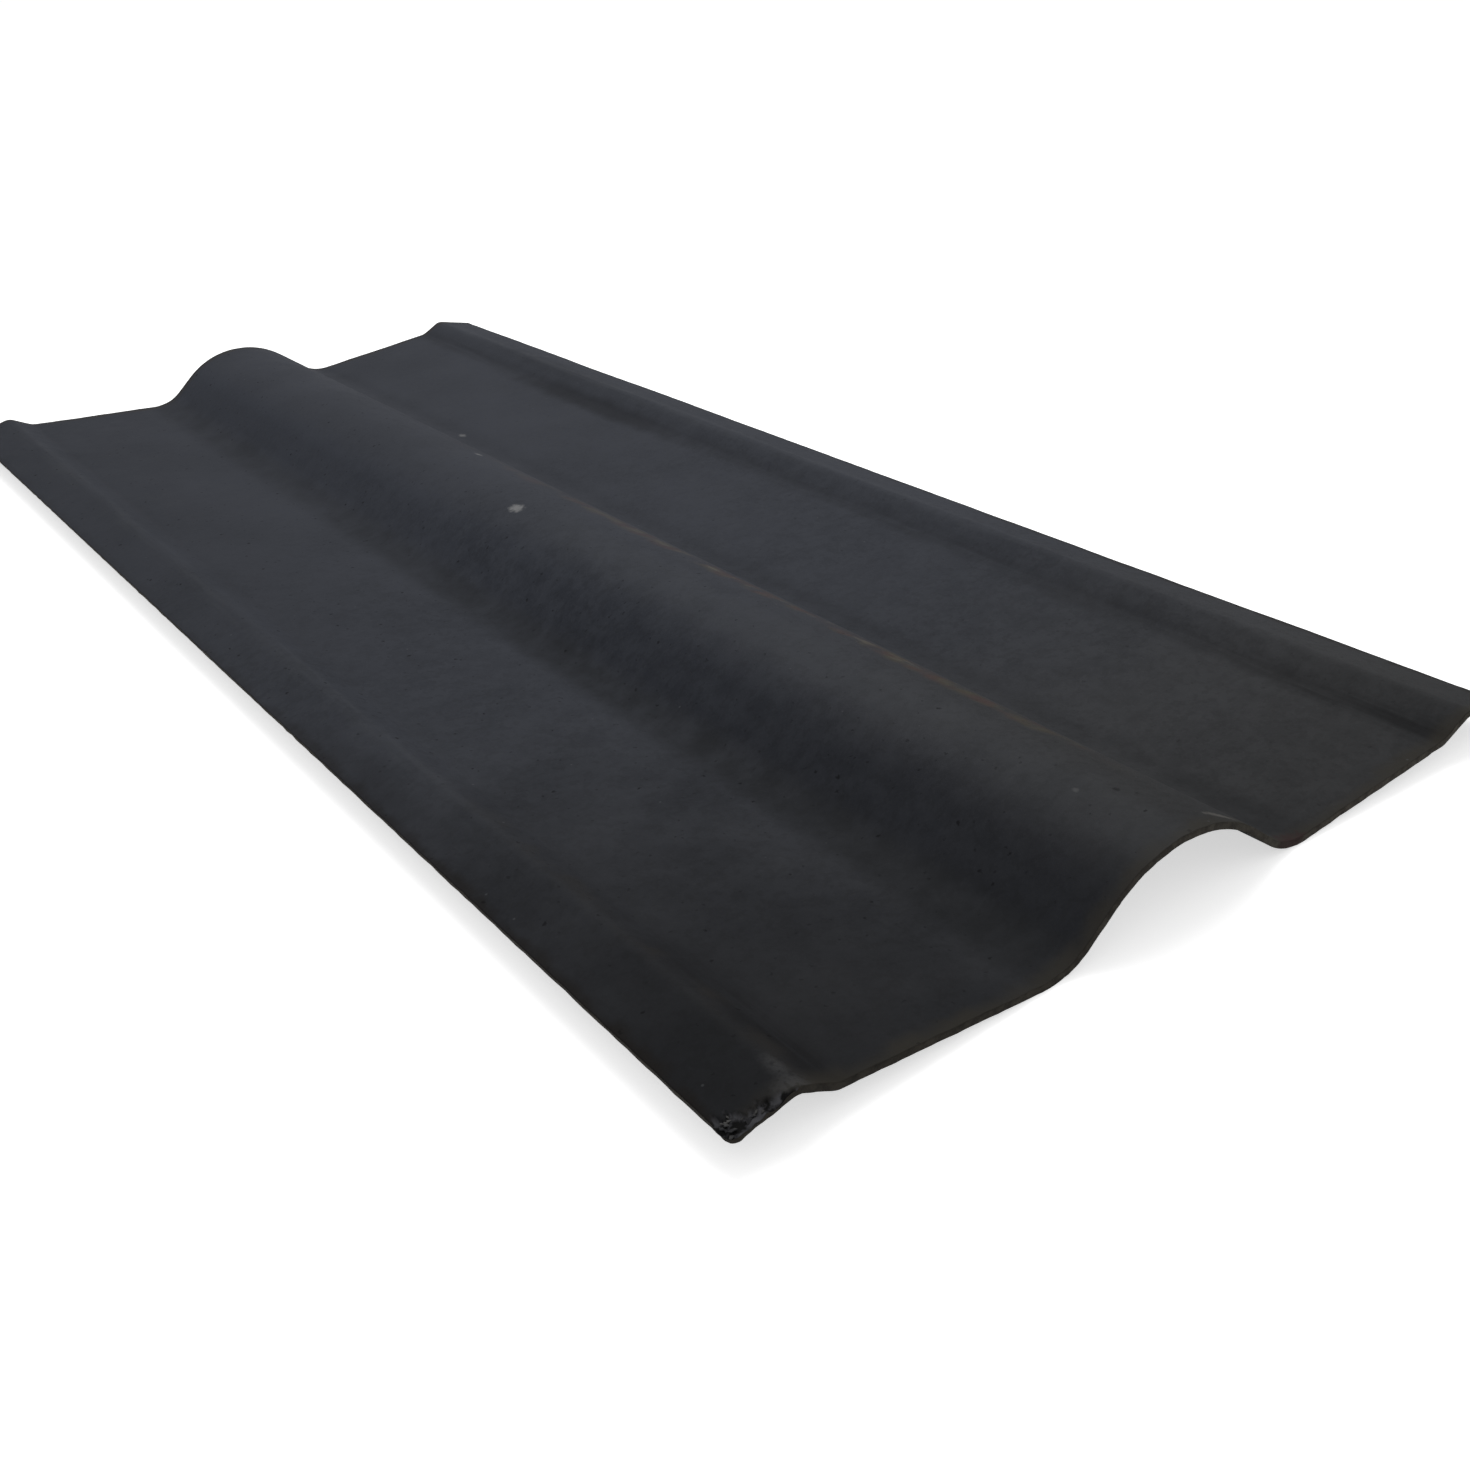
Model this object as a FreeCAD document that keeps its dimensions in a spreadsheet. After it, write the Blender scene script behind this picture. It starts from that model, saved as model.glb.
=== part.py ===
"""Roof ridge cap: one moulded sheet with a central roll, two wings and a bead along each long edge.

The cap lies as on a level floor, on the two feet of its roll. +X runs across the cap, +Y along it
and +Z up. The origin is on the floor below the middle of the cap. Lengths are in millimetres.

From the middle outwards, one half of the section is the crest of the roll, its straight flank, the
foot, the wing that rises a little, the valley, the rise to the bead, the bead and the outer strip
that falls to the edge. The sheet has one thickness all over.
"""
import FreeCAD, Part
import Sketcher
import math
import os

# Driving sizes: alias, value and what it measures
SIZES = [
    ("cap_length", 1000.0, "length along the ridge, mm"),
    ("cap_width", 420.0, "width over the two long edges, mm"),
    ("sheet_thickness", 3.0, "thickness of the sheet, mm"),
    ("crest_radius", 62.0, "radius of the roll's crest, top face, mm"),
    ("flank_angle", 40.0, "slope of the roll's flanks, degrees"),
    ("foot_spacing", 142.0, "between the two lines that the cap rests on, mm"),
    ("foot_radius", 30.0, "radius at the roll's feet, top face, mm"),
    ("wing_rise", 5.0, "slope of the wings, rising outwards, degrees"),
    ("valley_radius", 11.0, "radius between wing and bead, top face, mm"),
    ("bead_run", 20.0, "from the middle of the valley's arc to the bead's, across the cap, mm"),
    ("bead_angle", 27.0, "slope of the bead's inner side, degrees"),
    ("bead_radius", 9.0, "radius of the bead's crest, top face, mm"),
    ("bead_setback", 27.0, "from the middle of the bead's arc to the long edge, mm"),
    ("strip_fall", 13.0, "slope of the outer strip, falling outwards, degrees"),
]

# Numbers by which a sketch knows the points of a line or an arc, and its own two axes
START, END, CENTRE = range(1, 4)
Z_AXIS, X_AXIS = range(-2, 0)

RIGHT_ANGLE = math.pi / 2


def make_sheet(doc):
    """Put the driving sizes into a spreadsheet, one row each."""
    sheet = doc.addObject("Spreadsheet::Sheet", "Sizes")
    for row, (alias, value, meaning) in enumerate(SIZES, start=1):
        sheet.set(f"A{row}", alias)
        sheet.set(f"B{row}", str(value))
        sheet.set(f"C{row}", meaning)
        sheet.setAlias(f"B{row}", alias)
    doc.recompute()
    return sheet


def along(angle, distance):
    """Step of a length in a direction of the section's plane."""
    return FreeCAD.Vector(math.cos(angle), math.sin(angle), 0) * distance


def arc_centres(size):
    """Centres of the four arcs of one half, from the tangent runs between them."""
    flank = math.radians(size["flank_angle"])
    wing = math.radians(size["wing_rise"])
    rise = math.radians(size["bead_angle"])
    foot_and_crest = size["crest_radius"] + size["foot_radius"]
    valley_and_bead = size["valley_radius"] + size["bead_radius"]
    valley_less_foot = size["valley_radius"] - size["foot_radius"]

    foot = FreeCAD.Vector(size["foot_spacing"] / 2, size["foot_radius"] + size["sheet_thickness"], 0)
    bead_x = size["cap_width"] / 2 - size["bead_setback"]
    valley_x = bead_x - size["bead_run"]

    flank_length = (foot.x - foot_and_crest * math.sin(flank)) / math.cos(flank)
    crest_z = foot.y - foot_and_crest * math.cos(flank) + flank_length * math.sin(flank)
    wing_length = (valley_x - foot.x + valley_less_foot * math.sin(wing)) / math.cos(wing)
    valley_z = foot.y + valley_less_foot * math.cos(wing) + wing_length * math.sin(wing)
    rise_length = (size["bead_run"] - valley_and_bead * math.sin(rise)) / math.cos(rise)
    bead_z = valley_z - valley_and_bead * math.cos(rise) + rise_length * math.sin(rise)

    return {
        "crest": FreeCAD.Vector(0, crest_z, 0),
        "foot": foot,
        "valley": FreeCAD.Vector(valley_x, valley_z, 0),
        "bead": FreeCAD.Vector(bead_x, bead_z, 0),
    }


def arc_spans(size):
    """First and last angle of each arc, anticlockwise, where it meets its neighbours."""
    flank = math.radians(size["flank_angle"])
    wing = math.radians(size["wing_rise"])
    rise = math.radians(size["bead_angle"])
    strip = math.radians(size["strip_fall"])
    up = RIGHT_ANGLE
    down = 3 * RIGHT_ANGLE
    return {
        "crest": (up - flank, up),
        "foot": (down - flank, down + wing),
        "valley": (down + wing, down + rise),
        "bead": (up - strip, up + rise),
    }


def draw_face(sketch, size, depth):
    """Draw one face of the sheet at a depth below its top face, and return its numbered pieces."""
    centres = arc_centres(size)
    spans = arc_spans(size)
    radii = {
        "crest": size["crest_radius"] - depth,
        "foot": size["foot_radius"] + depth,
        "valley": size["valley_radius"] + depth,
        "bead": size["bead_radius"] - depth,
    }
    first = {name: centres[name] + along(spans[name][0], radii[name]) for name in centres}
    last = {name: centres[name] + along(spans[name][1], radii[name]) for name in centres}

    strip = math.radians(size["strip_fall"])
    top_start = centres["bead"] + along(spans["bead"][0], size["bead_radius"])
    strip_length = (size["cap_width"] / 2 - top_start.x) / math.cos(strip)
    edge = first["bead"] + along(-strip, strip_length)

    pieces = {}
    for name, radius in radii.items():
        circle = Part.Circle(centres[name], FreeCAD.Vector(0, 0, 1), radius)
        pieces[name] = sketch.addGeometry(Part.ArcOfCircle(circle, *spans[name]))
    runs = {
        "flank": (first["crest"], first["foot"]),
        "wing": (last["foot"], first["valley"]),
        "rise": (last["valley"], last["bead"]),
        "strip": (first["bead"], edge),
    }
    for name, ends in runs.items():
        pieces[name] = sketch.addGeometry(Part.LineSegment(*ends))

    joins = [
        ("crest", START, "flank", START),
        ("flank", END, "foot", START),
        ("foot", END, "wing", START),
        ("wing", END, "valley", START),
        ("valley", END, "rise", START),
        ("rise", END, "bead", END),
        ("bead", START, "strip", START),
    ]
    for one, one_end, other, other_end in joins:
        sketch.addConstraint(
            Sketcher.Constraint("Tangent", pieces[one], one_end, pieces[other], other_end)
        )
    sketch.addConstraint(Sketcher.Constraint("PointOnObject", pieces["crest"], END, Z_AXIS))
    return pieces


def bind(sketch, name, constraint, expression):
    """Add a named dimension to the sketch and tie it to the spreadsheet."""
    index = sketch.addConstraint(constraint)
    sketch.renameConstraint(index, name)
    sketch.setExpression(f"Constraints.{name}", expression)


def bind_top(sketch, top, size):
    """Tie the top face of the sheet to the driving sizes."""
    sketch.addConstraint(Sketcher.Constraint("PointOnObject", top["crest"], CENTRE, Z_AXIS))
    for name in ("crest", "foot", "valley", "bead"):
        alias = f"{name}_radius"
        bind(sketch, alias, Sketcher.Constraint("Radius", top[name], size[alias]), f"Sizes.{alias}")

    slopes = [
        ("flank", "flank_angle", -1),
        ("wing", "wing_rise", 1),
        ("rise", "bead_angle", 1),
        ("strip", "strip_fall", -1),
    ]
    for name, alias, sign in slopes:
        angle = Sketcher.Constraint("Angle", top[name], sign * math.radians(size[alias]))
        bind(sketch, alias, angle, f"{sign} * Sizes.{alias} * 1 deg")

    centres = arc_centres(size)
    half_width = size["cap_width"] / 2
    bind(
        sketch,
        "foot_place",
        Sketcher.Constraint("DistanceX", X_AXIS, START, top["foot"], CENTRE, centres["foot"].x),
        "Sizes.foot_spacing / 2",
    )
    bind(
        sketch,
        "foot_level",
        Sketcher.Constraint("DistanceY", X_AXIS, START, top["foot"], CENTRE, centres["foot"].y),
        "Sizes.foot_radius + Sizes.sheet_thickness",
    )
    bind(
        sketch,
        "bead_run",
        Sketcher.Constraint("DistanceX", top["valley"], CENTRE, top["bead"], CENTRE, size["bead_run"]),
        "Sizes.bead_run",
    )
    bind(
        sketch,
        "bead_setback",
        Sketcher.Constraint("DistanceX", top["bead"], CENTRE, top["strip"], END, size["bead_setback"]),
        "Sizes.bead_setback",
    )
    bind(
        sketch,
        "half_width",
        Sketcher.Constraint("DistanceX", X_AXIS, START, top["strip"], END, half_width),
        "Sizes.cap_width / 2",
    )


def bind_underside(sketch, top, under, size):
    """Keep the underside one sheet thickness from the top face, arc by arc."""
    thickness = size["sheet_thickness"]
    growth = {"crest": -1, "foot": 1, "valley": 1, "bead": -1}
    for name, sign in growth.items():
        sketch.addConstraint(
            Sketcher.Constraint("Coincident", under[name], CENTRE, top[name], CENTRE)
        )
        alias = f"{name}_radius"
        radius = size[alias] + sign * thickness
        bind(
            sketch,
            f"{name}_under",
            Sketcher.Constraint("Radius", under[name], radius),
            f"Sizes.{alias} + {sign} * Sizes.sheet_thickness",
        )
    sketch.addConstraint(Sketcher.Constraint("Parallel", top["strip"], under["strip"]))


def close_section(sketch, top, under):
    """Join the two faces with the square-cut long edge and a line down the middle of the roll."""
    points = {}
    for name, pieces in (("top", top), ("under", under)):
        points[name, "edge"] = sketch.getPoint(pieces["strip"], END)
        points[name, "middle"] = sketch.getPoint(pieces["crest"], END)
    ends = {"edge": "strip", "middle": "crest"}
    for place, piece in ends.items():
        line = Part.LineSegment(points["top", place], points["under", place])
        index = sketch.addGeometry(line)
        sketch.addConstraint(Sketcher.Constraint("Coincident", index, START, top[piece], END))
        sketch.addConstraint(Sketcher.Constraint("Coincident", index, END, under[piece], END))
        if place == "edge":
            sketch.addConstraint(Sketcher.Constraint("Perpendicular", index, top["strip"]))


def make_cap(doc, size):
    """Half the section drawn out along the ridge, then mirrored across it."""
    body = doc.addObject("PartDesign::Body", "RidgeCap")
    body.Label = "ridge_cap"
    planes = {plane.Role: plane for plane in body.Origin.OriginFeatures}

    section = body.newObject("Sketcher::SketchObject", "HalfSection")
    section.AttachmentSupport = (planes["XZ_Plane"], [""])
    section.MapMode = "FlatFace"
    top = draw_face(section, size, 0)
    under = draw_face(section, size, size["sheet_thickness"])
    bind_top(section, top, size)
    bind_underside(section, top, under, size)
    close_section(section, top, under)
    doc.recompute()
    if not section.FullyConstrained:
        raise RuntimeError("the half section is not fully constrained")

    half = body.newObject("PartDesign::Pad", "HalfCap")
    half.Profile = section
    half.SideType = "Symmetric"
    half.setExpression("Length", "Sizes.cap_length")
    doc.recompute()

    whole = body.newObject("PartDesign::Mirrored", "WholeCap")
    whole.Originals = [half]
    whole.MirrorPlane = (planes["YZ_Plane"], [""])
    body.Tip = whole
    doc.recompute()
    return body


def check(doc, bodies):
    """Stop if any object failed or a sub-part has no sound shape."""
    for item in doc.Objects:
        if "Invalid" in item.State or "Error" in item.State:
            raise RuntimeError(f"{item.Name} failed: {item.State}")
    for body in bodies:
        if body.Shape.isNull() or not body.Shape.isValid():
            raise RuntimeError(f"{body.Label} has no valid shape")
        if len(body.Shape.Solids) != 1:
            raise RuntimeError(f"{body.Label} is not one solid")


def main():
    doc = FreeCAD.newDocument("RoofRidgeCap")
    sheet = make_sheet(doc)
    size = {alias: float(sheet.get(alias)) for alias, _, _ in SIZES}
    bodies = [make_cap(doc, size)]
    check(doc, bodies)
    os.makedirs("parts", exist_ok=True)
    for body in bodies:
        body.Shape.exportStep(os.path.join("parts", body.Label + ".step"))
        box = body.Shape.BoundBox
        print(f"{body.Label}: {box.XLength:.2f} x {box.YLength:.2f} x {box.ZLength:.2f} mm")
        print(f"lowest point {box.ZMin:.4f} mm, volume {body.Shape.Volume:.0f} mm3")


main()
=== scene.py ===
"""Looks of the roof ridge cap: a weathered bitumen-fibre sheet, scuffed, worn and frayed at one corner.

The sheet is rebuilt as one closed mesh on the CAD section, with uneven faces, rough-cut ends and a torn
corner. Everything is in metres, in the frame of the CAD part: +X across, +Y along the ridge, +Z up.
"""
import bpy
import math
import random
import numpy as np
from mathutils import Euler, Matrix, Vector, noise


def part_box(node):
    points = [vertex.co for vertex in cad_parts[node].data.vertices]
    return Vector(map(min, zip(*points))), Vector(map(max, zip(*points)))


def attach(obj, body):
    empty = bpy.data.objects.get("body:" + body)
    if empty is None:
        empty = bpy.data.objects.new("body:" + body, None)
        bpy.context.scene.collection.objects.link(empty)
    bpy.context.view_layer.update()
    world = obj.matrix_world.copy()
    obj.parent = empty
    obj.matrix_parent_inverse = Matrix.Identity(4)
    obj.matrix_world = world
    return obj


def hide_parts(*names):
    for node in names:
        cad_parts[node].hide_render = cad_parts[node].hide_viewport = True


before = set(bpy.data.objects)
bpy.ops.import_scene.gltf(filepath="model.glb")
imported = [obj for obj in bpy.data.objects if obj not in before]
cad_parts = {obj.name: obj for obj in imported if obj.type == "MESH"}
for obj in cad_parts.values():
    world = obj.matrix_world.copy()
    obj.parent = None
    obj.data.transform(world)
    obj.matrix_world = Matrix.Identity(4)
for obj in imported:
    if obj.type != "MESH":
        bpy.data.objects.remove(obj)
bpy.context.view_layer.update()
low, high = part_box("ridge_cap")

MM = 0.001

# The section, from the frame where it shows there and otherwise as in the CAD
LENGTH = high.y - low.y
WIDTH = high.x - low.x
HEIGHT = high.z - low.z
THICKNESS = 3 * MM
CREST_RADIUS = 62 * MM
FOOT_RADIUS = 30 * MM
VALLEY_RADIUS = 11 * MM
BEAD_RADIUS = 9 * MM
FOOT_SPACING = 142 * MM
BEAD_RUN = 20 * MM
BEAD_SETBACK = 27 * MM
FLANK_SLOPE = math.radians(40)
WING_SLOPE = math.radians(5)
RISE_SLOPE = math.radians(27)
STRIP_SLOPE = math.radians(13)

# Mesh fineness: longest steps across, then the steps along, which grow from the ends to the middle
ROLL_STEP = 1.8 * MM
BEND_STEP = 1.2 * MM
RUN_STEP = 3.2 * MM
TORN_STRIP_STEP = 0.6 * MM
STRIP_STEP = 1.5 * MM
END_STEP = 0.5 * MM
MIDDLE_STEP = 6 * MM
STEP_GROWTH = 1.15
LAYERS = 3

# Unevenness of the moulded sheet: height of the waves and waves for each metre
SHEET_WAVES = [(0.40 * MM, 9), (0.16 * MM, 32)]
FACE_WAVES = [(0.10 * MM, 95)]

# Rough cut along the ends and long edges: greatest depth, waves for each metre, and reach into the sheet
CUT_DEPTH = 0.7 * MM
CUT_WAVES = 140
CUT_REACH = 18 * MM

# Torn corner at the near end of the left edge: its rounding, its size, its rim, its depth and its waves
CORNER_ROUNDING = 3.5 * MM
TEAR_WIDTH = 29 * MM
TEAR_REACH = 12 * MM
TEAR_RIM = 0.8 * MM
TEAR_DEPTH = 1.3 * MM
TEAR_LIMIT = 2.4 * MM
TEAR_WAVES = 130

# Flakes of fibre left in the torn corner
FLAKES = 22
FLAKE_SIZES = (0.6 * MM, 1.7 * MM)
FLAKE_THICKNESS = 0.3 * MM
FLAKE_SIDES = 7
FLAKE_TILT = 0.5

# Texture layout: how much of its side one metre takes, and where faces and cut sides begin on it
TEXTURE_SCALE = 0.99
SIDE_COLUMN = 0.02
TOP_START = (0.005, 0.005)
UNDERSIDE_START = (0.455, 0.005)
NEAR_START = (0.905, 0.005)
FAR_START = (0.905, 0.505)
LEFT_START = (0.935, 0.005)
RIGHT_START = (0.965, 0.005)

# Pale marks on the top face: the middle of each, how far it reaches along X, Y and Z, and its strength
PALE_MARKS = [
    ((-0.0117, -0.0040, 0.0334), (0.0045, 0.0058, 0.0025), 0.70),
    ((0.0695, 0.2370, 0.0030), (0.0026, 0.0040, 0.0025), 0.40),
    ((0.0229, 0.1120, 0.0301), (0.0022, 0.0036, 0.0025), 0.40),
    ((-0.0064, -0.4490, 0.0341), (0.0014, 0.0016, 0.0025), 0.15),
]

# Rubbed patches beside the torn corner, in the same way
SMEARS = [
    ((-0.1845, -0.4985, 0.0187), (0.0085, 0.0070, 0.0050), 0.60),
    ((-0.1813, -0.4865, 0.0191), (0.0040, 0.0080, 0.0030), 0.35),
]

# Darker patches in the right valley, on the right bead and on the left outer strip, in the same way
DARKER_PATCHES = [
    ((0.1625, 0.2000, 0.0100), (0.0110, 0.1500, 0.0100), 0.50),
    ((0.1625, -0.2900, 0.0100), (0.0110, 0.0600, 0.0100), 0.25),
    ((0.1850, 0.3100, 0.0180), (0.0100, 0.1200, 0.0120), 0.16),
    ((-0.2050, -0.2100, 0.0150), (0.0150, 0.0700, 0.0150), 0.26),
]

# Slanting streak at the near end of the roll: its turn, middle, reach and strength
STREAK_TURN = 0.5
STREAK_MIDDLE = (0.0256, -0.4930, 0.0288)
STREAK_REACH = (0.0090, 0.0020, 0.0060)
STREAK_STRENGTH = 0.5

# Red-brown stain at the near end of the right foot, on its face and its rim
STAIN_MIDDLE = (0.0635, -0.5000, 0.0020)
STAIN_REACH = (0.0105, 0.0065, 0.0070)
STAIN_STRENGTH = 0.7

# Lines along the cap that dirt, wear, painted shade and painted highlight follow, across from the middle,
# the valley on the left and right
VALLEY_LINES = (169 * MM, 165 * MM)
FOOT_LINE = 66 * MM
BEAD_LINE = 183 * MM
TANNED_LINE = 177 * MM
WORN_LINE = 27 * MM
CREST_LINE = -8 * MM

# Hues of the fibre as a picture shows them, 0 to 255, in pairs of the darker and the lighter where they vary
FIBRE_HUES = ((43, 45, 50), (52, 54, 59))
DUST_HUES = ((58, 58, 59), (60, 62, 68))
TORN_HUES = ((19, 19, 19), (68, 68, 71))
FLAKE_HUES = ((40, 40, 42), (74, 73, 72))
DIRTY_CUT_HUES = ((38, 36, 33), (54, 51, 46))
CLEAN_CUT_HUES = ((50, 47, 43), (70, 67, 61))
FLECK_HUE = (30, 31, 33)
GRAIN_HUE = (68, 69, 73)
PIT_HUE = (14, 14, 15)
SPECK_HUE = (92, 93, 96)

# Hues of the weathering and of the painted shade and highlight, in the same way
# Painted shade at the near left corner, on the left flank, the outer left, the near end, in the valleys and
# along the feet
CORNER_SHADE_HUE = (16, 16, 16)
FLANK_SHADE_HUE = (20, 20, 22)
OUTSIDE_SHADE_HUE = (26, 27, 30)
NEAR_END_SHADE_HUE = (26, 26, 26)
VALLEY_HUE = (22, 22, 23)
FOOT_SHADE_HUE = (26, 27, 28)
# Rubbed wear with painted highlight on the beads
BEAD_RUB_AND_HIGHLIGHT_HUE = (74, 76, 79)
TANNED_HUE = (50, 45, 37)
BROWN_HUE = (52, 49, 43)
GRIME_HUE = (28, 25, 22)
RUST_HUES = ((80, 58, 50), (80, 73, 55))
DASH_HUE = (108, 104, 97)
# Painted highlight on the crest, then painted shade on the right shoulder
CREST_HIGHLIGHT_HUE = (84, 86, 89)
SHOULDER_SHADE_HUE = (26, 26, 26)
MARK_HUE = (124, 124, 124)
SMEAR_HUE = (74, 74, 75)
STREAK_HUE = (96, 94, 91)
STAIN_HUE = (50, 36, 37)

# Floor: half its side, and how far it is lifted towards white for the camera
FLOOR_REACH = 40
FLOOR_LIFT = 0.6

# Light: strength of the even light all round, and the soft box above the cap
WORLD_STRENGTH = 0.55
LAMP_PLACE = (0.40, 0.30, 1.25)
LAMP_TARGET = (0.05, 0.05, 0)
LAMP_SIZE = 0.9
LAMP_POWER = 12

# Camera at the photograph's viewing angle, for an image 1470 wide and 1471 high
CAMERA_PLACE = (-0.4013, -0.8189, 0.3592)
CAMERA_TURN = (60.835, 3.630, -36.836)
SENSOR_MM = 36
LENS_MM = 38.967
LENS_SHIFT = (-0.0312, 0.0048)


def srgb(red, green, blue):
    """A colour as a picture shows it, 0 to 255, as linear light with alpha."""
    def linear(value):
        part = value / 255
        return part / 12.92 if part <= 0.04045 else ((part + 0.055) / 1.055) ** 2.4
    return (linear(red), linear(green), linear(blue), 1.0)


# Section

def half_section(strip_step):
    """Points from the crest to the right edge on the top face: across, up, heading and run so far."""
    foot_x = FOOT_SPACING / 2
    bead_x = WIDTH / 2 - BEAD_SETBACK
    valley_x = bead_x - BEAD_RUN
    roll_radii = CREST_RADIUS + FOOT_RADIUS
    bead_radii = VALLEY_RADIUS + BEAD_RADIUS
    radii_step = VALLEY_RADIUS - FOOT_RADIUS
    flank = (foot_x - roll_radii * math.sin(FLANK_SLOPE)) / math.cos(FLANK_SLOPE)
    wing = (valley_x - foot_x + radii_step * math.sin(WING_SLOPE)) / math.cos(WING_SLOPE)
    rise = (BEAD_RUN - bead_radii * math.sin(RISE_SLOPE)) / math.cos(RISE_SLOPE)
    strip = (BEAD_SETBACK - BEAD_RADIUS * math.sin(STRIP_SLOPE)) / math.cos(STRIP_SLOPE)
    bends = [
        (-FLANK_SLOPE, CREST_RADIUS, ROLL_STEP, flank, RUN_STEP),
        (FLANK_SLOPE + WING_SLOPE, FOOT_RADIUS, ROLL_STEP, wing, RUN_STEP),
        (RISE_SLOPE - WING_SLOPE, VALLEY_RADIUS, BEND_STEP, rise, RUN_STEP),
        (-RISE_SLOPE - STRIP_SLOPE, BEAD_RADIUS, BEND_STEP, strip, strip_step),
    ]
    points = [(0.0, HEIGHT, 0.0, 0.0)]
    for turn, radius, arc_step, straight, straight_step in bends:
        x, z, heading, run = points[-1]
        arc = abs(turn) * radius
        curve = turn / arc
        for part in np.linspace(0, 1, math.ceil(arc / arc_step) + 1)[1:]:
            now = heading + turn * part
            across = x + (math.sin(now) - math.sin(heading)) / curve
            up = z + (math.cos(heading) - math.cos(now)) / curve
            points.append((across, up, now, run + arc * part))
        x, z, heading, run = points[-1]
        for part in np.linspace(0, 1, math.ceil(straight / straight_step) + 1)[1:]:
            done = straight * part
            points.append((x + done * math.cos(heading), z + done * math.sin(heading), heading, run + done))
    return np.array(points)


def whole_section():
    """The half section mirrored to the left, then as it is, from the left edge to the right edge."""
    mirrored = half_section(TORN_STRIP_STEP)[:0:-1] * np.array([-1, 1, -1, -1])
    return np.vstack([mirrored, half_section(STRIP_STEP)])


def row_places():
    """Places along the cap, with steps that grow from both ends towards the middle."""
    half = [0.0]
    step = END_STEP
    while half[-1] + step < LENGTH / 2:
        half.append(half[-1] + step)
        step = min(step * STEP_GROWTH, MIDDLE_STEP)
    near = np.array(half) - LENGTH / 2
    return np.concatenate([near, -near[::-1]])


# Unevenness

def waves(across, along, layers, seed):
    """Smooth random heights over the sheet, from noise that is the same on every run."""
    total = np.zeros(across.shape)
    for height, frequency in layers:
        spots = np.stack([across * frequency, along * frequency, np.full(across.shape, seed)], -1)
        heights = [noise.noise(Vector(spot)) for spot in spots.reshape(-1, 3)]
        total += height * np.array(heights).reshape(across.shape)
    return total


def fade(distance, reach):
    """One at an edge, falling smoothly to nothing at a reach from it."""
    part = np.clip(distance / reach, 0, 1)
    return 1 - part * part * (3 - 2 * part)


def ragged(beside, seed):
    """Depth of a rough cut along an edge, from nothing to about one."""
    layers = [(0.5, CUT_WAVES), (0.25, 3.1 * CUT_WAVES)]
    return 0.5 + waves(beside, np.zeros(beside.shape), layers, seed)


def corner_rounding(to_left):
    """How far the near end is set back where its left corner is rounded."""
    across = np.clip(CORNER_ROUNDING - to_left, 0, CORNER_ROUNDING)
    return CORNER_ROUNDING - np.sqrt(CORNER_ROUNDING ** 2 - across ** 2)


def torn_share(to_left, to_near):
    """One where the top of the near left corner is torn away, falling to nothing over a ragged rim."""
    flat = np.zeros(to_left.shape)
    rim = 0.7 + waves(to_left, flat, [(0.5, TEAR_WAVES), (0.4, 2.9 * TEAR_WAVES)], 60)
    reach = TEAR_REACH * rim * fade(to_left, TEAR_WIDTH) ** 0.5
    return np.clip((reach - to_near) / TEAR_RIM, 0, 1)


def torn_depth(to_left, to_near):
    """Depth to which the fibre is broken away under the torn corner."""
    crumbs = waves(to_left, to_near, [(1.1, 1.4 * TEAR_WAVES), (0.5, 3.3 * TEAR_WAVES)], 70)
    return np.clip(TEAR_DEPTH * (1 + crumbs), 0, TEAR_LIMIT) * torn_share(to_left, to_near)


# Sheet

def sheet_grid():
    """The section, then on its grid: run across, place along, and distance from left edge and near end."""
    section = whole_section()
    along = row_places()
    run, place = np.meshgrid(section[:, 3], along, indexing="ij")
    return section, run, place, run - run.min(), place - place.min()


def sheet_points():
    """Corner points of the sheet in plies from top to underside, each a grid across and along."""
    section, run, place, to_left, to_near = sheet_grid()
    across, up, heading = (np.repeat(section[:, [column]], run.shape[1], 1) for column in range(3))
    flat = np.zeros(run.shape)
    normal = np.stack([-np.sin(heading), flat, np.cos(heading)], -1)
    tangent = np.stack([np.cos(heading), flat, np.sin(heading)], -1)
    forward = np.stack([flat, flat + 1, flat], -1)
    body = waves(run, place, SHEET_WAVES, 1)
    missing = torn_depth(to_left, to_near)
    plies = []
    for layer in range(LAYERS + 1):
        face = waves(run, place, FACE_WAVES, 10 + layer)
        depth = missing + (THICKNESS - missing) * layer / LAYERS
        ply = np.stack([across, place, up], -1) + normal * (body + face - depth)[..., None]
        cuts = [
            (ragged(run, 20 + 0.3 * layer), to_near, forward),
            (ragged(run, 30 + 0.3 * layer), LENGTH - to_near, -forward),
            (ragged(place, 40 + 0.3 * layer), to_left, tangent),
            (ragged(place, 50 + 0.3 * layer), to_left.max() - to_left, -tangent),
        ]
        for depths, distance, inward in cuts:
            ply = ply + (CUT_DEPTH * depths * fade(distance, CUT_REACH))[..., None] * inward
        ply = ply + (corner_rounding(to_left) * fade(to_near, CUT_REACH))[..., None] * forward
        ply[..., 2] = np.maximum(ply[..., 2], 0)
        plies.append(ply)
    return np.array(plies)


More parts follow.
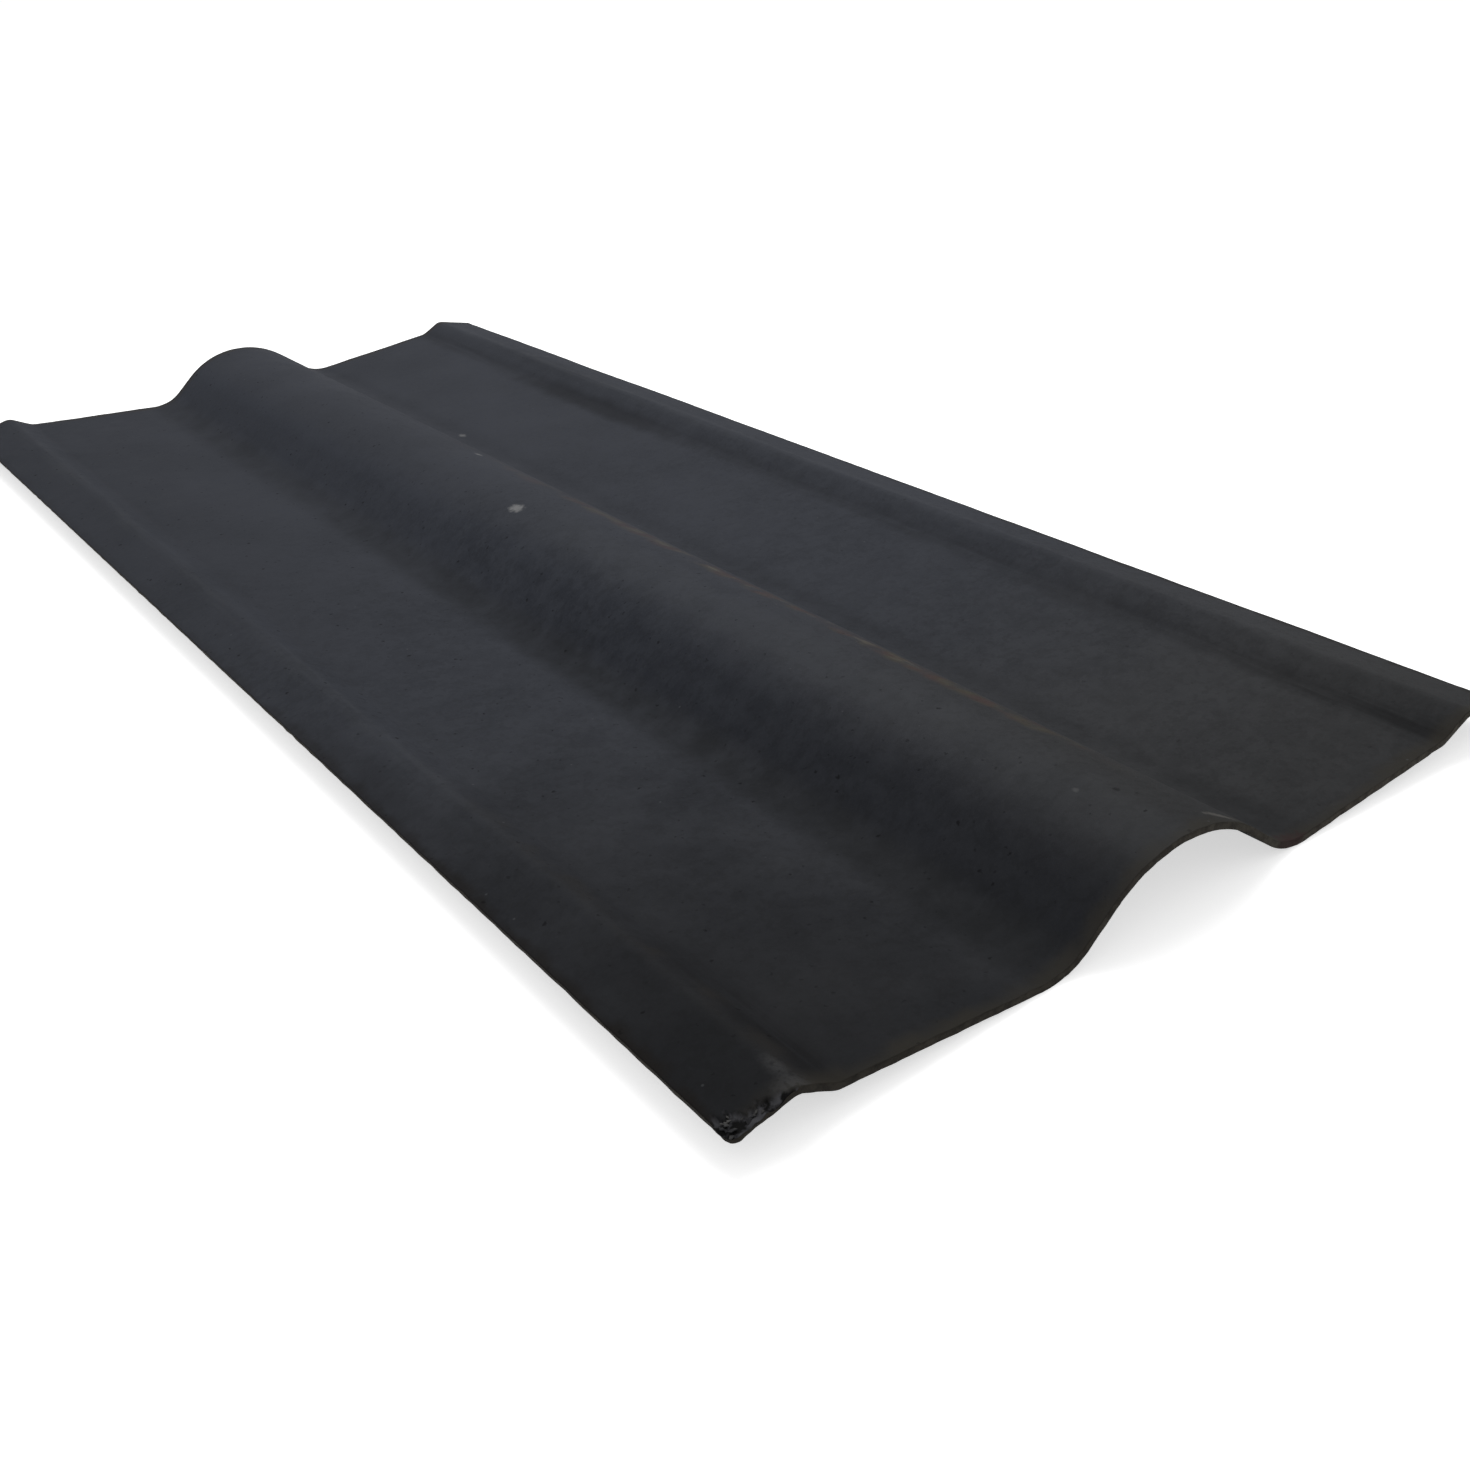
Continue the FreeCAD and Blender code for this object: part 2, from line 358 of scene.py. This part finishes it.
def sheet_faces(plies, across, along):
    """Quads over the outside of the block of points: the two faces first, then the cut sides."""
    number = np.arange(plies * across * along).reshape(plies, across, along)

    def quads(grid, outward):
        corners = [grid[:-1, :-1], grid[1:, :-1], grid[1:, 1:], grid[:-1, 1:]]
        found = np.stack(corners, -1).reshape(-1, 4)
        return found if outward else found[:, ::-1]

    faces = [quads(number[0], True), quads(number[-1], False)]
    sides = [
        quads(number[:, :, 0], True),
        quads(number[:, :, -1], False),
        quads(number[:, 0, :], False),
        quads(number[:, -1, :], True),
    ]
    return np.vstack(faces), np.vstack(sides)


def add_piece(name, mesh):
    piece = bpy.data.objects.new(name, mesh)
    bpy.context.scene.collection.objects.link(piece)
    return piece


def texture_map(section, along):
    """Places on a square texture: both faces side by side, then the four cut sides as narrow columns."""
    across = (section[:, 3] - section[0, 3]) * TEXTURE_SCALE
    lengthwise = (along - along[0]) * TEXTURE_SCALE
    layer = np.linspace(0, SIDE_COLUMN, LAYERS + 1)

    def corners(first, second):
        u, v = np.meshgrid(first, second, indexing="ij")
        grid = np.stack([u, v], -1)
        return np.stack([grid[:-1, :-1], grid[1:, :-1], grid[1:, 1:], grid[:-1, 1:]], -2).reshape(-1, 4, 2)

    top = corners(across, lengthwise) + TOP_START
    underside = corners(across, lengthwise)[:, ::-1] + UNDERSIDE_START
    near = corners(layer, across) + NEAR_START
    far = corners(layer, across)[:, ::-1] + FAR_START
    left = corners(layer, lengthwise)[:, ::-1] + LEFT_START
    right = corners(layer, lengthwise) + RIGHT_START
    return np.concatenate([top, underside, near, far, left, right])


def make_sheet(face_material, cut_material):
    """The whole cap as one closed mesh."""
    points = sheet_points()
    section, _, place, to_left, to_near = sheet_grid()
    faces, sides = sheet_faces(*points.shape[:3])
    used, corners = np.unique(np.vstack([faces, sides]), return_inverse=True)
    mesh = bpy.data.meshes.new("ridge_cap_sheet")
    mesh.from_pydata(points.reshape(-1, 3)[used].tolist(), [], corners.reshape(-1, 4).tolist())
    mesh.materials.append(face_material)
    mesh.materials.append(cut_material)
    cut = np.repeat([0, 1], [len(faces), len(sides)])
    mesh.polygons.foreach_set("material_index", cut)
    mesh.polygons.foreach_set("use_smooth", np.ones(len(cut), bool))
    tear = np.zeros(points.shape[:3])
    tear[:-1] = torn_share(to_left, to_near)
    mesh.attributes.new("torn", "FLOAT", "POINT").data.foreach_set("value", tear.reshape(-1)[used])
    texture = mesh.uv_layers.new(name="OFBake")
    texture.data.foreach_set("uv", texture_map(section, place[0]).reshape(-1))
    mesh.update()
    return add_piece("ridge_cap_sheet", mesh)


def make_flakes(material):
    """Small broken plates of fibre that lie loose-edged in the torn corner."""
    chance = random.Random(5)
    section = whole_section()
    points = []
    faces = []
    for _ in range(FLAKES):
        to_left = chance.uniform(2 * MM, 0.8 * TEAR_WIDTH)
        to_near = chance.uniform(1.2 * MM, 0.75 * TEAR_REACH)
        run = section[0, 3] + to_left
        across, up = (np.interp(run, section[:, 3], section[:, column]) for column in range(2))
        setback = corner_rounding(np.array(to_left)).item()
        middle = Vector((across, to_near + setback - LENGTH / 2, up - 0.7 * TEAR_DEPTH))
        leaning = [chance.uniform(-FLAKE_TILT, FLAKE_TILT) for _ in range(2)]
        tilt = Euler([*leaning, chance.uniform(0, math.tau)])
        radius = chance.uniform(*FLAKE_SIZES)
        first = len(points)
        for height in (-FLAKE_THICKNESS / 2, FLAKE_THICKNESS / 2):
            for side in range(FLAKE_SIDES):
                angle = math.tau * side / FLAKE_SIDES
                spread = radius * (0.75 + 0.25 * math.sin(2.3 * side + to_left / MM))
                flat = Vector((1.5 * spread * math.cos(angle), 0.8 * spread * math.sin(angle), height))
                flat.rotate(tilt)
                points.append(middle + flat)
        bottom = list(range(first, first + FLAKE_SIDES))
        top = [corner + FLAKE_SIDES for corner in bottom]
        faces.append(bottom[::-1])
        faces.append(top)
        for side in range(FLAKE_SIDES):
            after = (side + 1) % FLAKE_SIDES
            faces.append([bottom[side], bottom[after], top[after], top[side]])
    mesh = bpy.data.meshes.new("torn_flakes")
    mesh.from_pydata(points, [], faces)
    mesh.materials.append(material)
    return add_piece("torn_flakes", mesh)


# Materials

class Graph:
    """Shader nodes of one material, where each call adds a node and gives back an output."""

    def __init__(self, name):
        self.material = bpy.data.materials.new(name)
        self.material.use_nodes = True
        self.tree = self.material.node_tree
        self.shader = self.tree.nodes["Principled BSDF"]

    def join(self, value, socket):
        if isinstance(value, bpy.types.NodeSocket):
            self.tree.links.new(value, socket)
        else:
            socket.default_value = value

    def add(self, kind, inputs, output=0, **settings):
        made = self.tree.nodes.new(kind)
        for name, value in settings.items():
            setattr(made, name, value)
        for name, value in inputs.items():
            self.join(value, made.inputs[name])
        return made.outputs[output]

    def finish(self, **inputs):
        for name, value in inputs.items():
            self.join(value, self.shader.inputs[name.replace("_", " ")])
        return self.material

    def place(self):
        return self.add("ShaderNodeTexCoord", {}, "Object")

    def upward(self):
        return self.parts(self.add("ShaderNodeNewGeometry", {}, "Normal"))[2]

    def parts(self, vector):
        made = self.tree.nodes.new("ShaderNodeSeparateXYZ")
        self.join(vector, made.inputs[0])
        return made.outputs

    def math(self, operation, first, second=0.0):
        return self.add("ShaderNodeMath", {0: first, 1: second}, operation=operation)

    def vector(self, operation, first, second):
        return self.add("ShaderNodeVectorMath", {0: first, 1: second}, operation=operation)

    def length(self, vector):
        return self.add("ShaderNodeVectorMath", {0: vector}, "Value", operation="LENGTH")

    def apart(self, value, middle):
        return self.math("ABSOLUTE", self.math("SUBTRACT", value, middle))

    def both(self, *shares):
        product = shares[0]
        for share in shares[1:]:
            product = self.math("MULTIPLY", product, share)
        return product

    def span(self, value, start, end, first=0.0, last=1.0):
        """Smooth step from the first to the last number as the value goes from start to end."""
        inputs = {"Value": value, "From Min": start, "From Max": end, "To Min": first, "To Max": last}
        return self.add("ShaderNodeMapRange", inputs, interpolation_type="SMOOTHSTEP")

    def swing(self, pattern, first=0.0, last=1.0):
        """From the first to the last number over the usual range of a noise pattern."""
        return self.span(pattern, 0.3, 0.7, first, last)

    def noise(self, place, scale, detail=2.0):
        return self.add("ShaderNodeTexNoise", {"Vector": place, "Scale": scale, "Detail": detail})

    def strands(self, place, turn, long, wide):
        """Noise drawn out into strands that lie at one angle on the sheet."""
        inputs = {"Vector": place, "Angle": math.radians(turn)}
        turned = self.add("ShaderNodeVectorRotate", inputs, rotation_type="Z_AXIS")
        drawn = self.vector("MULTIPLY", turned, (1 / long, 1 / wide, 1 / wide))
        return self.noise(drawn, 1.0, 2.0)

    def turned(self, place):
        """The same place seen at an angle, for a pattern that doesn't follow another."""
        inputs = {"Vector": place, "Rotation": (0.4, 0.7, 1.1), "Location": (3, 5, 7)}
        return self.add("ShaderNodeMapping", inputs)

    def bent(self, place, scale, amount):
        """The place pushed about by noise, for uneven rims."""
        push = self.add("ShaderNodeTexNoise", {"Vector": place, "Scale": scale}, "Color")
        inputs = {0: push, 1: (amount, amount, amount), 2: place}
        return self.add("ShaderNodeVectorMath", inputs, operation="MULTIPLY_ADD")

    def dots(self, place, spacing, radius, share):
        """Round dots scattered over the sheet, in some of the cells of a random pattern."""
        cells = self.tree.nodes.new("ShaderNodeTexVoronoi")
        self.join(place, cells.inputs["Vector"])
        self.join(1 / spacing, cells.inputs["Scale"])
        chance = self.parts(cells.outputs["Color"])[0]
        chosen = self.math("LESS_THAN", chance, share)
        size = radius / spacing
        return self.both(chosen, self.span(cells.outputs["Distance"], size, 0.3 * size))

    def spot(self, place, centre, reach, wobble):
        """A patch around one place, with an uneven rim."""
        offset = self.vector("SUBTRACT", place, centre)
        distance = self.length(self.vector("DIVIDE", offset, reach))
        return self.span(self.math("ADD", distance, wobble), 1.3, 0.3)

    def mix(self, share, first, second):
        return self.add("ShaderNodeMix", {0: share, 6: first, 7: second}, 2, data_type="RGBA")

    def blend(self, share, hues):
        """A colour from the first to the second of two hues."""
        return self.mix(share, srgb(*hues[0]), srgb(*hues[1]))

    def coat(self, colour, hue, *shares):
        """The colour, covered with a hue by the product of the shares."""
        return self.mix(self.both(*shares), colour, srgb(*hue))

    def bump(self, height, distance, strength):
        return self.add("ShaderNodeBump", {"Height": height, "Distance": distance, "Strength": strength})


def bitumen_colour(graph, place, up):
    """Blue-black fibre, mottled and speckled, dusty and lit with painted light where it faces up and towards
    the far end, painted shade towards the near end, near left corner, left flank and outer left wing,
    painted light on the left flank towards the far end, and greyer at the near end.
    """
    x, y = graph.parts(place)[:2]
    patches = graph.noise(place, 14, 6.0)
    mottle = graph.noise(place, 80, 3.0)
    grain = graph.noise(place, 700, 2.0)
    flecks = graph.noise(place, 230, 2.0)
    plain = graph.span(y, -0.1, 0.3, 1.0, 0.4)
    least = graph.span(y, -0.1, 0.3, 0.0, 0.3)
    most = graph.span(y, -0.1, 0.3, 1.0, 0.7)
    colour = graph.blend(graph.swing(mottle, least, most), FIBRE_HUES)
    colour = graph.coat(colour, FLECK_HUE, graph.span(flecks, 0.52, 0.36, 0, 0.25), plain)
    colour = graph.coat(colour, GRAIN_HUE, graph.span(grain, 0.45, 0.75, 0, 0.15))
    dust_hue = graph.blend(graph.span(y, -0.5, -0.1), DUST_HUES)
    # Dusty and with painted light: paler where the sheet faces up, and more so towards the far end
    dust_and_light_share = graph.both(graph.span(up, 0.55, 1.0), graph.span(y, -0.4, 0.2, 0.8, 1.1))
    dust_and_light = graph.both(dust_and_light_share, graph.span(patches, 0.32, 0.68, 0.24, 0.5))
    colour = graph.mix(dust_and_light, colour, dust_hue)
    # Painted shade, darker towards the near left corner
    to_corner = graph.vector("SUBTRACT", place, (low.x, low.y, 0))
    corner = graph.length(graph.vector("MULTIPLY", to_corner, (1.6, 1, 1)))
    corner_shade_distance = graph.math("ADD", corner, graph.swing(patches, -0.05, 0.05))
    colour = graph.coat(colour, CORNER_SHADE_HUE, graph.span(corner_shade_distance, 0.0, 0.38, 0.62, 0.0))
    # Painted shade on the roll's left flank, stronger towards the near end
    flank = graph.both(graph.span(up, 0.97, 0.8), graph.span(x, 0.01, -0.01))
    colour = graph.coat(colour, FLANK_SHADE_HUE, flank, graph.span(y, 0.0, -0.45, 0, 0.3))
    # Painted shade on the outer left part of the cap, away from the near end
    outside = graph.both(graph.span(x, -0.06, -0.17, 0, 0.16), graph.span(y, -0.25, 0.05))
    colour = graph.coat(colour, OUTSIDE_SHADE_HUE, outside)
    # Painted shade over the last part of the near end
    colour = graph.coat(colour, NEAR_END_SHADE_HUE, graph.span(y, -0.38, -0.5, 0.0, 0.22))
    end_tint = graph.span(x, -0.05, 0.02, 0.9, 0.35)
    tint = graph.math("ADD", graph.span(y, -0.5, -0.2, end_tint, 1.0), graph.both(flank, 0.15))
    # Painted light: the left flank made brighter towards the far end
    painted_flank_light = graph.math("ADD", graph.both(flank, graph.span(y, -0.2, 0.1, 0, 0.12)), 1.0)
    return graph.add("ShaderNodeHueSaturation", {"Color": colour, "Saturation": tint, "Value": painted_flank_light})


def add_dirt_and_painted_shade(graph, colour, place):
    """Painted shade in the valleys and along the feet, darker patches, rubbed beads with painted highlight,
    tanned beads, browned ends and dark long edges.
    """
    x, y = graph.parts(place)[:2]
    streaks = graph.strands(place, 90, 60 * MM, 4 * MM)
    blotch = graph.noise(place, 60, 4.0)
    aside = graph.math("ADD", graph.math("ABSOLUTE", x), graph.swing(blotch, -1.5 * MM, 1.5 * MM))

    def band(middle, half, core):
        return graph.span(graph.apart(aside, middle), half, core)

    def along_edge(half, position, reach):
        inside = graph.math("SUBTRACT", half, graph.math("ABSOLUTE", position))
        uneven = graph.math("ADD", inside, graph.swing(blotch, -2 * MM, 2 * MM))
        return graph.span(uneven, reach, 0.0)

    # Painted shade in the valleys, strongest at the near end, with the darker patches added in the same hue
    valley_shade_strength = graph.span(y, -0.34, -0.49, graph.span(x, -0.02, 0.02, 0.05, 0.2), 0.55)
    lowest = graph.span(x, -0.02, 0.02, *VALLEY_LINES)
    valley = graph.both(band(lowest, 11 * MM, 1 * MM), valley_shade_strength, graph.span(streaks, 0.25, 0.6, 0.4, 1.2))
    for centre, reach, strength in DARKER_PATCHES:
        patch = graph.spot(place, centre, reach, graph.swing(blotch, -0.12, 0.12))
        valley = graph.math("MAXIMUM", valley, graph.both(patch, strength))
    colour = graph.coat(colour, VALLEY_HUE, valley)
    # Painted shade along the feet of the roll, stronger on the left and towards the near end
    right_share = graph.span(y, -0.40, -0.47, 0.45, 0.75)
    foot_shade_strength = graph.both(graph.span(x, 0.0, 0.05, 1.0, right_share), graph.span(y, 0.2, -0.2, 0.75, 1.3))
    foot = band(FOOT_LINE, 18 * MM, 4 * MM)
    colour = graph.coat(colour, FOOT_SHADE_HUE, foot, graph.swing(blotch, 0.22, 0.44), foot_shade_strength)
    # Rubbed wear with painted highlight: paler along the crests of the beads, away from the near end
    rubbed_and_lit = graph.both(graph.span(streaks, 0.35, 0.7, 0.02, 0.14), graph.span(y, -0.40, -0.15))
    colour = graph.coat(colour, BEAD_RUB_AND_HIGHLIGHT_HUE, band(BEAD_LINE, 9 * MM, 1 * MM), rubbed_and_lit)
    left_near = graph.both(graph.span(x, 0.02, -0.02), graph.span(y, -0.2, -0.35))
    tanned = graph.both(graph.span(blotch, 0.4, 0.6, 0.03, 0.16), left_near)
    colour = graph.coat(colour, TANNED_HUE, band(TANNED_LINE, 8 * MM, 1 * MM), tanned)
    colour = graph.coat(colour, BROWN_HUE, along_edge(LENGTH / 2, y, 10 * MM), 0.6)
    sides = graph.span(y, 0.1, -0.45, 0.15, 0.65)
    return graph.coat(colour, GRIME_HUE, along_edge(WIDTH / 2, x, 6 * MM), sides)


def add_wear_and_painted_light(graph, colour, place, up):
    """The roll's worn line, painted highlight on the crest and painted shade on the right shoulder, then the
    marks, smears, streak and stain.
    """
    x, y = graph.parts(place)[:2]
    blotch = graph.noise(place, 34, 4.0)
    fine = graph.noise(place, 420, 3.0)
    wobble = graph.swing(fine, -0.22, 0.22)
    threads = graph.span(graph.strands(place, 90, 12 * MM, 1.2 * MM), 0.35, 0.65)
    top = graph.span(up, 0.2, 0.5)

    line = graph.math("ADD", x, graph.swing(blotch, -3 * MM, 3 * MM))
    beside = graph.apart(line, WORN_LINE)
    stretch = graph.both(graph.span(y, -0.46, -0.38), graph.span(y, 0.20, -0.10), top)
    broken = graph.noise(graph.turned(place), 75, 2.0)
    rust_hue = graph.blend(graph.span(broken, 0.4, 0.6), RUST_HUES)
    rusty = graph.span(blotch, 0.44, 0.57, 0.04, 0.23)
    rust = graph.both(graph.span(beside, 9 * MM, 2 * MM), rusty, stretch)
    colour = graph.mix(graph.both(rust, graph.span(y, -0.1, -0.3, 1.0, 1.7)), colour, rust_hue)
    gaps = graph.span(broken, 0.45, 0.6)
    rubbed = graph.both(graph.span(beside, 4 * MM, 0.5 * MM), threads, gaps, stretch)
    dashes = graph.both(rubbed, graph.span(y, -0.05, -0.20, 0.1, 0.35), graph.span(y, -0.36, -0.29))
    colour = graph.coat(colour, DASH_HUE, dashes)
    # Painted highlight: a paler band along the crest of the roll, towards the near end
    crest = graph.span(graph.apart(line, CREST_LINE), 20 * MM, 6 * MM)
    colour = graph.coat(colour, CREST_HIGHLIGHT_HUE, crest, graph.span(y, 0.08, -0.12, 0, 0.1))
    # Painted shade on the roll's right shoulder, stronger towards the near end
    shoulder = graph.both(graph.span(x, 8 * MM, 20 * MM), graph.span(x, 60 * MM, 35 * MM))
    colour = graph.coat(colour, SHOULDER_SHADE_HUE, shoulder, graph.span(y, -0.15, -0.42, 0, 0.17))

    for centre, reach, strength in PALE_MARKS:
        mark = graph.spot(place, centre, reach, wobble)
        colour = graph.coat(colour, MARK_HUE, mark, top, strength)
    worn = graph.span(blotch, 0.35, 0.6, 0.5, 1.0)
    crumbled = graph.span(fine, 0.3, 0.55, 0.3, 1.0)
    for centre, reach, strength in SMEARS:
        smear = graph.spot(place, centre, reach, wobble)
        colour = graph.coat(colour, SMEAR_HUE, smear, top, worn, crumbled, strength)
    around = {"Vector": place, "Center": STREAK_MIDDLE, "Angle": STREAK_TURN}
    leaning = graph.add("ShaderNodeVectorRotate", around, rotation_type="Z_AXIS")
    streak = graph.spot(leaning, STREAK_MIDDLE, STREAK_REACH, wobble)
    colour = graph.coat(colour, STREAK_HUE, streak, top, STREAK_STRENGTH)
    stain = graph.spot(place, STAIN_MIDDLE, STAIN_REACH, wobble)
    return graph.coat(colour, STAIN_HUE, stain, top, STAIN_STRENGTH)


def bitumen_material():
    """Matte bitumen-soaked fibre with its weathering, painted light and painted shade, and bare crumbled
    fibre where it is torn.
    """
    graph = Graph("bitumen_fibre")
    place = graph.place()
    up = graph.upward()
    colour = add_dirt_and_painted_shade(graph, bitumen_colour(graph, place, up), place)
    colour = add_wear_and_painted_light(graph, colour, place, up)
    bent = graph.bent(place, 500, 3 * MM)
    pits = graph.dots(bent, 10 * MM, 1.3 * MM, 0.5)
    large_pits = graph.dots(bent, 38 * MM, 2.2 * MM, 0.3)
    fine_pits = graph.both(graph.dots(graph.turned(bent), 6 * MM, 1.0 * MM, 0.5), 0.6)
    pits = graph.math("MAXIMUM", graph.math("MAXIMUM", pits, large_pits), fine_pits)
    pits = graph.both(pits, graph.span(graph.parts(place)[0], -0.02, 0.04, 1.0, 0.4))
    colour = graph.coat(colour, PIT_HUE, pits, 0.65)
    specks = graph.dots(graph.turned(place), 15 * MM, 0.8 * MM, 0.4)
    colour = graph.coat(colour, SPECK_HUE, specks, 0.25)
    torn = graph.add("ShaderNodeAttribute", {}, "Fac", attribute_name="torn")
    crumbs = graph.noise(place, 200, 3.0)
    bare = graph.blend(graph.span(crumbs, 0.43, 0.57), TORN_HUES)
    colour = graph.mix(torn, colour, bare)

    grain = graph.noise(place, 700, 2.0)
    fibre_a = graph.strands(place, 30, 6 * MM, 0.6 * MM)
    fibre_b = graph.strands(place, -50, 6 * MM, 0.6 * MM)
    fibre = graph.math("MAXIMUM", fibre_a, fibre_b)
    height = graph.math("ADD", graph.both(fibre, 0.7), graph.both(grain, 0.6))
    height = graph.math("SUBTRACT", height, pits)
    return graph.finish(
        Base_Color=colour,
        Roughness=graph.swing(graph.noise(place, 80, 3.0), 0.78, 0.88),
        Specular_IOR_Level=0.03,
        Normal=graph.bump(height, 0.25 * MM, 0.25),
    )


def cut_material():
    """Bare brown fibre along the cut ends and edges, cleaner to the right, with the right foot's stain."""
    graph = Graph("cut_fibre")
    place = graph.place()
    mottle = graph.noise(place, 240, 3.0)
    grain = graph.noise(place, 1500, 2.0)
    dirty = graph.blend(graph.swing(mottle), DIRTY_CUT_HUES)
    clean = graph.blend(graph.swing(mottle), CLEAN_CUT_HUES)
    colour = graph.mix(graph.span(graph.parts(place)[0], -0.2, 0.15), dirty, clean)
    stain = graph.spot(place, STAIN_MIDDLE, STAIN_REACH, graph.swing(mottle, -0.22, 0.22))
    colour = graph.coat(colour, STAIN_HUE, stain, STAIN_STRENGTH)
    return graph.finish(
        Base_Color=colour,
        Roughness=0.9,
        Specular_IOR_Level=0.1,
        Normal=graph.bump(grain, 0.3 * MM, 0.8),
    )


def flake_material():
    """Pale dry fibre broken out of the sheet."""
    graph = Graph("flake_fibre")
    place = graph.place()
    tone = graph.noise(place, 260, 2.0)
    return graph.finish(
        Base_Color=graph.blend(graph.span(tone, 0.35, 0.65), FLAKE_HUES),
        Roughness=0.9,
        Specular_IOR_Level=0.1,
        Normal=graph.bump(graph.noise(place, 2500, 1.0), 0.1 * MM, 0.6),
    )


# Stage

def seen_share(tree):
    """One for what the camera sees, straight or in a gloss or through glass, and nothing for other light."""
    rays = tree.nodes.new("ShaderNodeLightPath")
    share = rays.outputs["Is Camera Ray"]
    for name in ("Is Glossy Ray", "Is Transmission Ray"):
        either = tree.nodes.new("ShaderNodeMath")
        either.operation = "MAXIMUM"
        tree.links.new(share, either.inputs[0])
        tree.links.new(rays.outputs[name], either.inputs[1])
        share = either.outputs[0]
    return share


def make_floor():
    """A wide pale floor under the cap."""
    mesh = bpy.data.meshes.new("floor")
    signs = [(-1, -1), (1, -1), (1, 1), (-1, 1)]
    corners = [(FLOOR_REACH * across, FLOOR_REACH * along, 0) for across, along in signs]
    mesh.from_pydata(corners, [], [(0, 1, 2, 3)])
    graph = Graph("pale_floor")
    mesh.materials.append(graph.finish(
        Base_Color=(0.8, 0.8, 0.8, 1),
        Roughness=0.95,
        Specular_IOR_Level=0.0,
        Emission_Color=(1, 1, 1, 1),
        Emission_Strength=graph.math("MULTIPLY", seen_share(graph.tree), FLOOR_LIFT),
    ))
    add_piece("floor", mesh)


def make_world():
    """Even light from all round, white where the camera looks at it."""
    world = bpy.data.worlds.new("soft_studio")
    world.use_nodes = True
    bpy.context.scene.world = world
    tree = world.node_tree
    background = tree.nodes["Background"]
    background.inputs["Color"].default_value = (1, 1, 1, 1)
    level = tree.nodes.new("ShaderNodeMapRange")
    tree.links.new(seen_share(tree), level.inputs["Value"])
    level.inputs["To Min"].default_value = WORLD_STRENGTH
    level.inputs["To Max"].default_value = 1.0
    tree.links.new(level.outputs[0], background.inputs["Strength"])


def make_lamp():
    """A square soft box that faces its target."""
    data = bpy.data.lights.new("key", "AREA")
    data.size = LAMP_SIZE
    data.energy = LAMP_POWER
    lamp = add_piece("key", data)
    lamp.location = LAMP_PLACE
    backwards = Vector(LAMP_PLACE) - Vector(LAMP_TARGET)
    lamp.rotation_euler = backwards.to_track_quat("Z", "Y").to_euler()


def make_camera():
    """The camera where the photograph was taken from."""
    data = bpy.data.cameras.new("camera")
    data.lens = LENS_MM
    data.sensor_width = SENSOR_MM
    data.shift_x, data.shift_y = LENS_SHIFT
    camera = add_piece("camera", data)
    camera.location = CAMERA_PLACE
    camera.rotation_euler = [math.radians(turn) for turn in CAMERA_TURN]
    bpy.context.scene.camera = camera


sheet = make_sheet(bitumen_material(), cut_material())
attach(sheet, "root")
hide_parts("ridge_cap")
flakes = make_flakes(flake_material())
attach(flakes, "root")

make_floor()
make_world()
make_lamp()
make_camera()
bpy.context.scene.view_settings.view_transform = "Standard"
